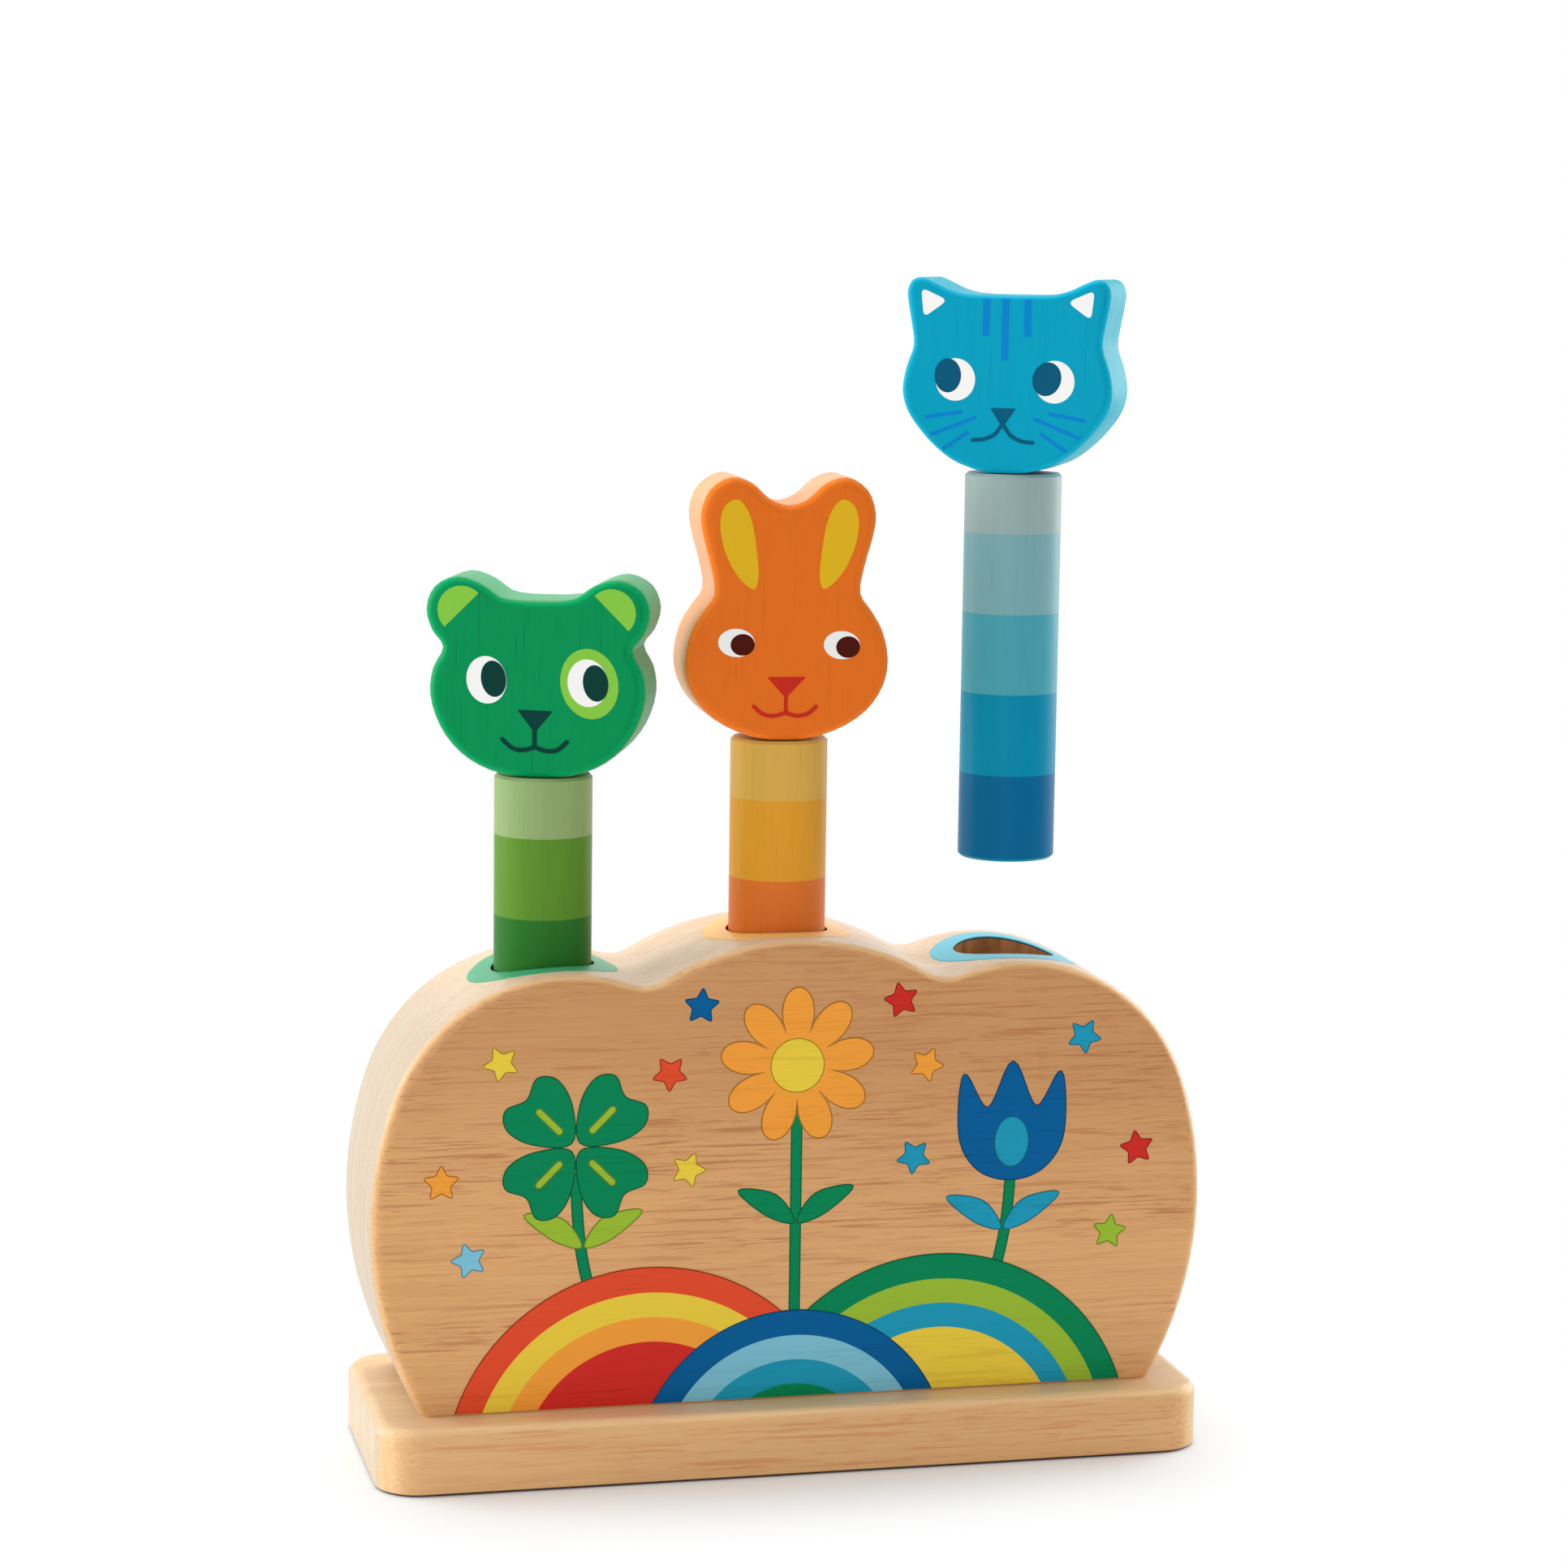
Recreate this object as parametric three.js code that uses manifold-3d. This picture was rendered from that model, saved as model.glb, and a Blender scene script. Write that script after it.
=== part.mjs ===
// Pop up animal toy: three animal pegs stand on springs in a hill shaped wooden block.
// Millimetres, +Z up. The origin is the middle of the base plate's underside and the picture side faces -Y.

import * as THREE from 'three';
import { mergeVertices } from 'three/addons/utils/BufferGeometryUtils.js';
import Module from 'manifold-3d';

const wasm = await Module();
wasm.setup();

// Clearances that every fit shares
const touch_gap = 0.3;
const overrun = 2;

// Base plate
const base_length = 216;
const base_width = 74;
const base_height = 17;
const base_corner_radius = 11.5;
const base_edge_radius = 3;
const base_foot_radius = 1;

// Hill shaped block, its heights counted from the top of the base plate
const block_thickness = 51;
const block_edge_radius = 3;
const block_foot_chamfer = 0.5;
const crown_height = 119;
const crown_radius = 69;
const shoulder_x = 59;
const shoulder_z = 64.7;
const shoulder_radius = 47.1;
const valley_radius = 9.8;
const flank_radius = 98;
const flank_start = THREE.MathUtils.degToRad(18.8);

// Pegs and the bores that they stand in
const peg_spacing = 61.3;
const peg_diameter = 25;
const peg_clearance = 0.8;
const wood_under_bore = 11.1;
const bear_bore_deeper = 1.2;
const shaft_length = 100;
const shaft_chamfer = 0.7;
const cat_lift = 75;

// Springs under the pegs
const spring_height = 49;
const spring_diameter = 23.2;
const spring_wire = 1.3;
const spring_active_curls = 6;
const spring_end_curls = 1;
const spring_end_pitch = 2.3;

// Heads
const head_thickness = 22.5;
const chin_flat_depth = 0.6;
const bear_width = 57;
const bear_height = 50.8;
const bear_edge_radius = 2.8;
const rabbit_width = 52.8;
const rabbit_height = 67.6;
const rabbit_edge_radius = 2.6;
const cat_width = 55;
const cat_height = 50.1;
const cat_edge_radius = 2;
const bear_turn = THREE.MathUtils.degToRad(-20);
const rabbit_turn = THREE.MathUtils.degToRad(-3);
const cat_turn = THREE.MathUtils.degToRad(-29.5);

// Dowels that join the heads to the shafts
const peg_dowel_diameter = 8;
const peg_dowel_in_head = 14;
const peg_dowel_in_shaft = 16;

// Dowels that place the block on the base plate
const block_dowel_diameter = 8;
const block_dowel_in_base = 11;
const block_dowel_in_block = 14;
const block_dowel_x = 85;
const dowel_chamfer = 0.8;

// Countersunk wood screws from beneath
const screw_x = 30.6;
const screw_length = 40;
const screw_shank_diameter = 4;
const screw_head_diameter = 8.4;
const screw_head_height = 2.6;
const screw_head_sunk = 0.8;
const screw_tip_length = 6;
const screw_tip_diameter = 0.8;
const recess_span = 4.6;
const recess_slot = 1.1;
const recess_depth = 1.5;

// Facet counts
const round_facets = 48;
const small_facets = 24;
const corner_facets = 8;
const edge_facets = 4;
const outline_steps = 3;
const outline_tolerance = 0.04;
const curl_steps = 8;
const wire_sides = 5;

// Half outlines of the heads from the chin up to the forehead, as shares of half the width and of the height
const bear_outline_shares = [
  [0, 0], [0.42, 0.035], [0.69, 0.12], [0.875, 0.25], [0.965, 0.41], [0.94, 0.54], [0.85, 0.648],
  [0.945, 0.725], [1, 0.835], [0.925, 0.945], [0.715, 1], [0.5, 0.965], [0.34, 0.905], [0.19, 0.89],
  [0, 0.888],
];
const rabbit_outline_shares = [
  [0, 0], [0.48, 0.04], [0.79, 0.115], [0.955, 0.21], [1, 0.31], [0.94, 0.42], [0.83, 0.495],
  [0.72, 0.56], [0.76, 0.67], [0.83, 0.77], [0.86, 0.86], [0.775, 0.95], [0.56, 1], [0.35, 0.975],
  [0.18, 0.917], [0, 0.895],
];
const cat_outline_shares = [
  [0, 0], [0.45, 0.055], [0.66, 0.13], [0.83, 0.225], [0.955, 0.325], [1, 0.425], [0.965, 0.545],
  [0.9, 0.655], [0.925, 0.77], [0.958, 0.87], [0.965, 0.935], [0.92, 0.985], [0.83, 0.999], [0.71, 0.975],
  [0.57, 0.94], [0.42, 0.92], [0, 0.915],
];

// Colours of the pieces
const wood_colour = '#d9ab72';
const green_colour = '#009150';
const orange_colour = '#e06e23';
const blue_colour = '#009bbe';
const steel_colour = '#b9bcc0';
const dowel_colour = '#e3c596';

// Sizes that follow from the ones above
const bore_radius = peg_diameter / 2 + peg_clearance;
const crown_centre = new THREE.Vector2(0, crown_height - crown_radius);
const shoulder_centre = new THREE.Vector2(shoulder_x, shoulder_z);
const block_height = Math.max(crown_height, shoulder_z + shoulder_radius);
const bore_depth = Math.min(mouthHeight(0), mouthHeight(peg_spacing)) - wood_under_bore;

// A closed geometry as a solid that can be joined and cut
function toSolid(geometry) {
  const bare = geometry.clone();
  bare.deleteAttribute('normal');
  bare.deleteAttribute('uv');
  const welded = mergeVertices(bare);
  const corners = welded.index.array;
  const kept = [];
  for (let i = 0; i < corners.length; i += 3) {
    const [a, b, c] = [corners[i], corners[i + 1], corners[i + 2]];
    if (a !== b && b !== c && c !== a) kept.push(a, b, c);
  }
  const vertProperties = new Float32Array(welded.attributes.position.array);
  const triVerts = new Uint32Array(kept);
  return new wasm.Manifold(new wasm.Mesh({ numProp: 3, vertProperties, triVerts }));
}

// A solid back as a geometry
function toGeometry(solid) {
  const mesh = solid.getMesh();
  const geometry = new THREE.BufferGeometry();
  geometry.setAttribute('position', new THREE.BufferAttribute(new Float32Array(mesh.vertProperties), 3));
  geometry.setIndex(new THREE.BufferAttribute(new Uint32Array(mesh.triVerts), 1));
  geometry.computeVertexNormals();
  return geometry;
}

// A profile of [radius, height] points turned about the Z axis
function turned(profile, facets) {
  const points = profile.map(([radius, height]) => new THREE.Vector2(radius, height));
  return new THREE.LatheGeometry(points, facets).rotateX(Math.PI / 2);
}

// A plain round cutter that stands on a height
function drill(diameter, bottom, top, x, facets) {
  const radius = diameter / 2;
  const profile = [[0, bottom], [radius, bottom], [radius, top], [0, top]];
  return toSolid(turned(profile, facets).translate(x, 0, 0));
}

// An outline in X and Z as a plate of one thickness with rounded front and back edges
function roundedPlate(shape, thickness, edge_radius) {
  const options = {
    depth: thickness - 2 * edge_radius,
    bevelThickness: edge_radius,
    bevelSize: edge_radius,
    bevelOffset: -edge_radius,
    bevelSegments: edge_facets,
  };
  const plate = new THREE.ExtrudeGeometry(shape, options);
  return plate.rotateX(Math.PI / 2).translate(0, thickness / 2 - edge_radius, 0);
}

// Where the circle that fills the valley touches the crown and the shoulder
function valleyArc() {
  const to_crown = crown_radius + valley_radius;
  const to_shoulder = shoulder_radius + valley_radius;
  const between = shoulder_centre.clone().sub(crown_centre);
  const span = between.length();
  const along = (to_crown ** 2 - to_shoulder ** 2 + span ** 2) / (2 * span);
  const across = Math.sqrt(to_crown ** 2 - along ** 2);
  const forward = between.clone().normalize();
  const upward = new THREE.Vector2(-forward.y, forward.x);
  const centre = crown_centre.clone().addScaledVector(forward, along).addScaledVector(upward, across);
  return {
    centre,
    crown_angle: centre.clone().sub(crown_centre).angle(),
    shoulder_angle: centre.clone().sub(shoulder_centre).angle(),
  };
}

// The flank's circle touches the shoulder from outside and runs down past the base plate's top
function flankArc() {
  const inward = flank_radius - shoulder_radius;
  const centre = new THREE.Vector2(
    shoulder_centre.x - inward * Math.cos(flank_start),
    shoulder_centre.y - inward * Math.sin(flank_start),
  );
  return { centre, end_angle: Math.asin((-overrun - block_edge_radius - centre.y) / flank_radius) };
}

// Points along an arc from one angle to another, none further from it than the tolerance
function arcPoints(centre, radius, from, to) {
  const step = 2 * Math.acos(1 - outline_tolerance / radius);
  const arc = new THREE.EllipseCurve(centre.x, centre.y, radius, radius, from, to, to < from);
  return arc.getPoints(Math.ceil(Math.abs(to - from) / step));
}

// The block's outline from its left foot over the three hills to its right foot
function blockOutline() {
  const valley = valleyArc();
  const flank = flankArc();
  const half = Math.PI;
  const top = half / 2;
  const right = [
    arcPoints(crown_centre, crown_radius, top, valley.crown_angle),
    arcPoints(valley.centre, valley_radius, valley.crown_angle + half, valley.shoulder_angle + half),
    arcPoints(shoulder_centre, shoulder_radius, valley.shoulder_angle, flank_start),
    arcPoints(flank.centre, flank_radius, flank_start, flank.end_angle),
  ].flatMap((points) => points.slice(1));
  const left = right.map((point) => new THREE.Vector2(-point.x, point.y)).reverse();
  return new THREE.Shape([...left, new THREE.Vector2(0, crown_height), ...right]);
}

// Height of the block's top over the base plate at one of the bores
function mouthHeight(x) {
  const outer = x !== 0;
  const centre = outer ? shoulder_centre : crown_centre;
  const radius = outer ? shoulder_radius : crown_radius;
  return centre.y + Math.sqrt(radius ** 2 - (Math.abs(x) - centre.x) ** 2);
}

// A box cutter from a low corner to a high corner
function cutterBox(low, high) {
  const size = high.clone().sub(low);
  const middle = low.clone().add(high).multiplyScalar(1 / 2);
  return toSolid(new THREE.BoxGeometry(size.x, size.y, size.z).translate(middle.x, middle.y, middle.z));
}

// Everything below a height, as a cutter wide enough for any piece
function below(height, reach) {
  return cutterBox(new THREE.Vector3(-reach, -reach, -reach), new THREE.Vector3(reach, reach, height));
}

// The hole that takes a screw's head and shank, cut from beneath
function screwHole(x) {
  const head_radius = screw_head_diameter / 2 + touch_gap;
  const shank_radius = screw_shank_diameter / 2 + touch_gap;
  const cone_top = screw_head_sunk + screw_head_height + touch_gap;
  const end = screw_head_sunk + screw_length + touch_gap;
  const profile = [
    [0, -overrun], [head_radius, -overrun], [head_radius, screw_head_sunk],
    [shank_radius, cone_top], [shank_radius, end], [0, end],
  ];
  return toSolid(turned(profile, small_facets).translate(x, 0, 0));
}

// The hole for a locating dowel, part in the base plate and part in the block
function blockDowelHole(x) {
  const bottom = base_height - block_dowel_in_base - touch_gap;
  const top = base_height + block_dowel_in_block + touch_gap;
  return drill(block_dowel_diameter + 2 * touch_gap, bottom, top, x, small_facets);
}

function fastenerHoles() {
  const sides = [-1, 1];
  return sides.flatMap((side) => [screwHole(side * screw_x), blockDowelHole(side * block_dowel_x)]);
}

// A level board with round corners, its top and bottom edges rounded alike
function roundCornerBoard(bottom, top, edge_radius) {
  const in_x = base_length / 2 - base_corner_radius;
  const in_y = base_width / 2 - base_corner_radius;
  const shape = new THREE.Shape();
  shape.absarc(in_x, in_y, base_corner_radius, 0, Math.PI / 2, false);
  shape.absarc(-in_x, in_y, base_corner_radius, Math.PI / 2, Math.PI, false);
  shape.absarc(-in_x, -in_y, base_corner_radius, Math.PI, 1.5 * Math.PI, false);
  shape.absarc(in_x, -in_y, base_corner_radius, 1.5 * Math.PI, 2 * Math.PI, false);
  const board = new THREE.ExtrudeGeometry(shape, {
    depth: top - bottom - 2 * edge_radius,
    bevelThickness: edge_radius,
    bevelSize: edge_radius,
    bevelOffset: -edge_radius,
    bevelSegments: edge_facets,
    curveSegments: corner_facets,
  });
  return toSolid(board.translate(0, 0, bottom + edge_radius));
}

// Base plate: the top edge is rounded more than the edge that it stands on
function basePlate() {
  const upper = roundCornerBoard(-overrun - base_edge_radius, base_height, base_edge_radius);
  const lower = roundCornerBoard(0, base_height + overrun + base_foot_radius, base_foot_radius);
  let solid = upper.intersect(lower);
  for (const hole of fastenerHoles()) solid = solid.subtract(hole);
  return toGeometry(solid);
}

// A tray that widens upwards at 45 degrees, to break the block's sharp edges on the base plate
function footTray() {
  const flank = flankArc();
  const foot = flank.centre.x + Math.sqrt(flank_radius ** 2 - flank.centre.y ** 2) - block_foot_chamfer;
  const half_length = flank.centre.x + flank_radius + overrun;
  const flare = half_length - foot;
  const half_width = block_thickness / 2 - block_foot_chamfer + flare;
  const shape = new THREE.Shape();
  shape.moveTo(-half_length, -half_width);
  shape.lineTo(half_length, -half_width);
  shape.lineTo(half_length, half_width);
  shape.lineTo(-half_length, half_width);
  shape.closePath();
  const tray = new THREE.ExtrudeGeometry(shape, {
    depth: block_height,
    bevelThickness: flare,
    bevelSize: flare,
    bevelOffset: -flare,
    bevelSegments: 1,
  });
  return toSolid(tray.translate(0, 0, base_height + flare));
}

// The floor of an animal's blind bore
function boreFloor(animal) {
  return base_height + mouthHeight(animal.x) - bore_depth - animal.bore_deeper;
}

// Block: the hill outline, cut flat to sit on the base plate, with three blind bores
function hillBlock() {
  const plate = roundedPlate(blockOutline(), block_thickness, block_edge_radius);
  let solid = toSolid(plate.translate(0, 0, base_height)).intersect(footTray());
  const top = base_height + block_height + overrun;
  for (const animal of animals) {
    solid = solid.subtract(drill(2 * bore_radius, boreFloor(animal), top, animal.x, round_facets));
  }
  for (const hole of fastenerHoles()) solid = solid.subtract(hole);
  return toGeometry(solid);
}

// A turned peg shaft with chamfered ends and a dowel hole in its top
function pegShaft() {
  const radius = peg_diameter / 2;
  const hole = peg_dowel_diameter / 2 + touch_gap;
  const hole_floor = shaft_length - peg_dowel_in_shaft - touch_gap;
  const profile = [
    [0, 0], [radius - shaft_chamfer, 0], [radius, shaft_chamfer],
    [radius, shaft_length - shaft_chamfer], [radius - shaft_chamfer, shaft_length],
    [hole, shaft_length], [hole, hole_floor], [0, hole_floor],
  ];
  return toGeometry(toSolid(turned(profile, round_facets)));
}

// A plain wooden dowel with chamfered ends
function dowelPin(diameter, length) {
  const radius = diameter / 2;
  const profile = [
    [0, 0], [radius - dowel_chamfer, 0], [radius, dowel_chamfer],
    [radius, length - dowel_chamfer], [radius - dowel_chamfer, length], [0, length],
  ];
  return toGeometry(toSolid(turned(profile, small_facets)));
}

// A head cut from board: a mirrored smooth outline with rounded edges and a flat chin with a dowel hole
function animalHead({ outline_shares, width, height, edge_radius }) {
  const chin = -chin_flat_depth;
  const right = outline_shares.map(([across, up]) => [across * (width / 2), chin + up * height]);
  const left = right.slice(1, -1).reverse().map(([x, y]) => [-x, y]);
  const knots = [...right, ...left].map(([x, y]) => new THREE.Vector3(x, y, 0));
  const curve = new THREE.CatmullRomCurve3(knots, true, 'centripetal');
  const outline = curve.getPoints(knots.length * outline_steps).slice(0, -1);
  const shape = new THREE.Shape(outline.map((point) => new THREE.Vector2(point.x, point.y)));
  const plate = toSolid(roundedPlate(shape, head_thickness, edge_radius)).subtract(below(0, base_length));
  const hole_top = peg_dowel_in_head + touch_gap;
  const hole = drill(peg_dowel_diameter + 2 * touch_gap, -overrun, hole_top, 0, small_facets);
  return toGeometry(plate.subtract(hole));
}

// The centre line of a spring: close curls at both ends and open ones between them
function springLine() {
  const curls = spring_active_curls + 2 * spring_end_curls;
  const rise = spring_height - spring_wire;
  const active_pitch = (rise - 2 * spring_end_curls * spring_end_pitch) / spring_active_curls;
  const radius = (spring_diameter - spring_wire) / 2;
  const steps = curls * curl_steps;
  const line = [];
  for (let step = 0; step <= steps; step += 1) {
    const turn = step / curl_steps;
    const lower = Math.min(turn, spring_end_curls);
    const upper = Math.max(turn - spring_end_curls - spring_active_curls, 0);
    const height = (lower + upper) * spring_end_pitch + (turn - lower - upper) * active_pitch;
    const angle = 2 * Math.PI * turn;
    const [x, y] = [radius * Math.cos(angle), radius * Math.sin(angle)];
    line.push(new THREE.Vector3(x, y, height + spring_wire / 2));
  }
  return line;
}

// The least gap between two curls of a centre line that lie half a curl or more apart
function leastGap(line, diameter) {
  let least = Infinity;
  for (let i = 0; i < line.length; i += 1) {
    for (let j = i + curl_steps / 2; j < line.length; j += 1) {
      least = Math.min(least, line[i].distanceTo(line[j]) - diameter);
    }
  }
  return least;
}

// A compression spring as one unbroken tube of few sides along its helix
function compressionSpring() {
  const line = springLine();
  const positions = [];
  const radius = spring_wire / 2;
  line.forEach((point) => {
    const outward = new THREE.Vector3(point.x, point.y, 0).normalize();
    for (let side = 0; side < wire_sides; side += 1) {
      const angle = (2 * Math.PI * side) / wire_sides;
      const corner = point.clone().addScaledVector(outward, radius * Math.cos(angle));
      corner.z += radius * Math.sin(angle);
      positions.push(corner.x, corner.y, corner.z);
    }
  });
  const index = [];
  for (let ring = 0; ring < line.length - 1; ring += 1) {
    for (let side = 0; side < wire_sides; side += 1) {
      const next = (side + 1) % wire_sides;
      const [a, b] = [ring * wire_sides + side, ring * wire_sides + next];
      index.push(a, a + wire_sides, b, b, a + wire_sides, b + wire_sides);
    }
  }
  const last = (line.length - 1) * wire_sides;
  for (let side = 1; side < wire_sides - 1; side += 1) {
    index.push(0, side, side + 1);
    index.push(last, last + side + 1, last + side);
  }
  const geometry = new THREE.BufferGeometry();
  geometry.setAttribute('position', new THREE.Float32BufferAttribute(positions, 3));
  geometry.setIndex(index);
  geometry.computeVertexNormals();
  return geometry;
}

// A countersunk screw, point up, with a cross recess in its head
function woodScrew() {
  const head = screw_head_diameter / 2;
  const shank = screw_shank_diameter / 2;
  const profile = [
    [0, 0], [head, 0], [shank, screw_head_height], [shank, screw_length - screw_tip_length],
    [screw_tip_diameter / 2, screw_length], [0, screw_length],
  ];
  let solid = toSolid(turned(profile, small_facets));
  const long = recess_span / 2;
  const short = recess_slot / 2;
  for (const [x, y] of [[long, short], [short, long]]) {
    const low = new THREE.Vector3(-x, -y, -overrun);
    solid = solid.subtract(cutterBox(low, new THREE.Vector3(x, y, recess_depth)));
  }
  return toGeometry(solid);
}

function painted(colour) {
  return new THREE.MeshStandardMaterial({ color: colour, roughness: 0.45, metalness: 0 });
}

function steel() {
  return new THREE.MeshStandardMaterial({ color: steel_colour, roughness: 0.3, metalness: 1 });
}

function piece(name, geometry, material, x, z) {
  const mesh = new THREE.Mesh(geometry, material);
  mesh.name = name;
  mesh.position.set(x, 0, z);
  return mesh;
}

// One animal: its spring on the bore's floor, its shaft over it, and its dowel and head on the shaft
function animalPeg(animal) {
  const group = new THREE.Group();
  const spring_foot = boreFloor(animal) + touch_gap;
  const shaft_foot = spring_foot + spring_height + touch_gap + animal.lift;
  const shaft_top = shaft_foot + shaft_length;
  const dowel_foot = shaft_top - peg_dowel_in_shaft;
  const dowel = dowelPin(peg_dowel_diameter, peg_dowel_in_shaft + peg_dowel_in_head);
  const turner = new THREE.Group();
  turner.position.set(animal.x, 0, shaft_top + touch_gap);
  turner.rotation.z = animal.turn;
  turner.add(piece(`${animal.name}_head`, animalHead(animal), painted(animal.colour), 0, 0));
  group.add(piece(`${animal.name}_spring`, compressionSpring(), steel(), animal.x, spring_foot));
  group.add(piece(`${animal.name}_shaft`, pegShaft(), painted(animal.colour), animal.x, shaft_foot));
  group.add(piece(`${animal.name}_dowel`, dowel, painted(dowel_colour), animal.x, dowel_foot));
  group.add(turner);
  return group;
}

const animals = [
  {
    name: 'bear', x: -peg_spacing, bore_deeper: bear_bore_deeper, lift: 0, turn: bear_turn,
    outline_shares: bear_outline_shares, width: bear_width, height: bear_height,
    edge_radius: bear_edge_radius, colour: green_colour,
  },
  {
    name: 'rabbit', x: 0, bore_deeper: 0, lift: 0, turn: rabbit_turn,
    outline_shares: rabbit_outline_shares, width: rabbit_width, height: rabbit_height,
    edge_radius: rabbit_edge_radius, colour: orange_colour,
  },
  {
    name: 'cat', x: peg_spacing, bore_deeper: 0, lift: cat_lift, turn: cat_turn,
    outline_shares: cat_outline_shares, width: cat_width, height: cat_height,
    edge_radius: cat_edge_radius, colour: blue_colour,
  },
];

console.log('least gap between spring curls', leastGap(springLine(), spring_wire).toFixed(2));

const toy = new THREE.Group();
toy.add(piece('base_plate', basePlate(), painted(wood_colour), 0, 0));
toy.add(piece('hill_block', hillBlock(), painted(wood_colour), 0, 0));
for (const [side, sign] of [['left', -1], ['right', 1]]) {
  const dowel = dowelPin(block_dowel_diameter, block_dowel_in_base + block_dowel_in_block);
  const dowel_foot = base_height - block_dowel_in_base;
  toy.add(piece(`${side}_block_dowel`, dowel, painted(dowel_colour), sign * block_dowel_x, dowel_foot));
  toy.add(piece(`${side}_screw`, woodScrew(), steel(), sign * screw_x, screw_head_sunk));
}
for (const animal of animals) toy.add(animalPeg(animal));

export default toy;
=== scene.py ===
"""Pop up animal toy: its looks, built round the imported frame. Lengths are metres, and MM is one millimetre."""

import math

import bpy
from mathutils import Matrix, Vector
from mathutils.bvhtree import BVHTree
from mathutils.geometry import tessellate_polygon

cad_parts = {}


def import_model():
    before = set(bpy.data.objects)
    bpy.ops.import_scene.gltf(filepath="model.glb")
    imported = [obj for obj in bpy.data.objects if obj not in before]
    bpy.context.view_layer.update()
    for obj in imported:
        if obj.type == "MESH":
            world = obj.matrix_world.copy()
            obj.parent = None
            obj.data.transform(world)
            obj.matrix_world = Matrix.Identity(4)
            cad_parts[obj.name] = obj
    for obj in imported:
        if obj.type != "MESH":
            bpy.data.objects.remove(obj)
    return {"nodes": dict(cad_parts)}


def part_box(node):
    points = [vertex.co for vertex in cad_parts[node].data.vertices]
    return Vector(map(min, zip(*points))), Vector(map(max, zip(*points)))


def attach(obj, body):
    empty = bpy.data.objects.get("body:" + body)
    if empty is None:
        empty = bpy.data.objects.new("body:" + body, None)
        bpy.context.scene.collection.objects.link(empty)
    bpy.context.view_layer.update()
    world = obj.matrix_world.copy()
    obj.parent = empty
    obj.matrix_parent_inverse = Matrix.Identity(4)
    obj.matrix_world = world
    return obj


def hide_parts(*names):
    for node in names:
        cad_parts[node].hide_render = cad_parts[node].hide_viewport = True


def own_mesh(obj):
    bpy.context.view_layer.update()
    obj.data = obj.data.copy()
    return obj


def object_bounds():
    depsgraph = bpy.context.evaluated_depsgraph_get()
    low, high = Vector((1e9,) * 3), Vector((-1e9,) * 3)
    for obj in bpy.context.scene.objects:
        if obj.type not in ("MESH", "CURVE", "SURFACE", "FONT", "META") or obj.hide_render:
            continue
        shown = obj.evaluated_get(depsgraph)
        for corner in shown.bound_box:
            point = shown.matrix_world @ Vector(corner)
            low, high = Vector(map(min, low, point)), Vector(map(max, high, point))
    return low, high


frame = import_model()
CAD_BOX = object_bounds()

MM = 0.001
ANIMALS = ("bear", "rabbit", "cat")

# The block's bores. Their cut wood reaches from their foot upwards, and a little further out than their walls.
PEG_SPACING = 61.3 * MM
BORE_RADIUS = 13.3 * MM
BORE_FOOT = 27 * MM
BORE_SLACK = 0.1 * MM

# Camera of the photograph: a long lens, a little above and to the left of the toy
CAMERA_AZIMUTH = math.radians(-13.39)
CAMERA_ELEVATION = math.radians(7.9)
CAMERA_ROLL = math.radians(0.79)
CAMERA_TARGET = Vector((1.5 * MM, 0, 172.5 * MM))
CAMERA_DISTANCE = 1017.8 * MM
CAMERA_LENS = 90.7
CAMERA_SENSOR = 36

# Round lamps: place, aim, width and watts
LAMPS = {
    "top": ((0, 0.4, 1.6), (0, 0, 0.1), 1.3, 17),
    "left": ((-1.4, 0.5, 0.5), (0, 0, 0.15), 1.5, 21.5),
    "right": ((1.4, 0.5, 0.5), (0, 0, 0.15), 1.5, 19.5),
    "front": ((-0.8, -1.75, 0.8), (0, 0, 0.15), 1.6, 13),
}
WORLD_STRENGTH = 0.33

# How far the floor reaches. It turns white between two distances from a line under the toy, which stretches so far to
# each side, and past the line's ends the distance to the side counts more.
FLOOR_HALF = 3
FLOOR_FADE = (40 * MM, 95 * MM)
FLOOR_STRETCH = 72 * MM
FLOOR_SIDE_WEIGHT = 1.5

# Thickness of a printed ink film, and the step from one film to the film over it
FILM = 0.02 * MM
FILM_STEP = 0.03 * MM

# The picture on the block, in millimetres: its lower end, its hills' stripes and the thin line round each shape.
# Each hill's arc is drawn in so many steps.
PRINT_FOOT = 0.5
STRIPE_WIDTH = 6.4
LINE_WIDTH = 0.3
ARC_STEPS = 40

# The painted ring round a bore's mouth. Its paint runs a little way down into the bore, where its back and its front
# lie so far from the wall.
RING_INNER = 13.35 * MM
RING_OUTER = 19.3 * MM
RUN_LENGTH = 0.6 * MM
RUN_BACK = 0.02 * MM
RUN_FRONT = 0.1 * MM
RING_STEPS_ACROSS = 6
RING_STEPS_AROUND = 120

# Springs: a finer helix in place of the frame's plain one, with one flatter curl at each end
SPRING_WIRE = 1.3 * MM
SPRING_END_PITCH = 2.3 * MM
SPRING_CURLS = 8
SPRING_STEPS = 28
SPRING_SIDES = 10


def rgb(red, green, blue):
    """An sRGB colour of 0 to 255 as the linear colour that a shader takes."""
    def linear(value):
        share = value / 255
        return share / 12.92 if share <= 0.04045 else ((share + 0.055) / 1.055) ** 2.4
    return (linear(red), linear(green), linear(blue), 1)


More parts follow.
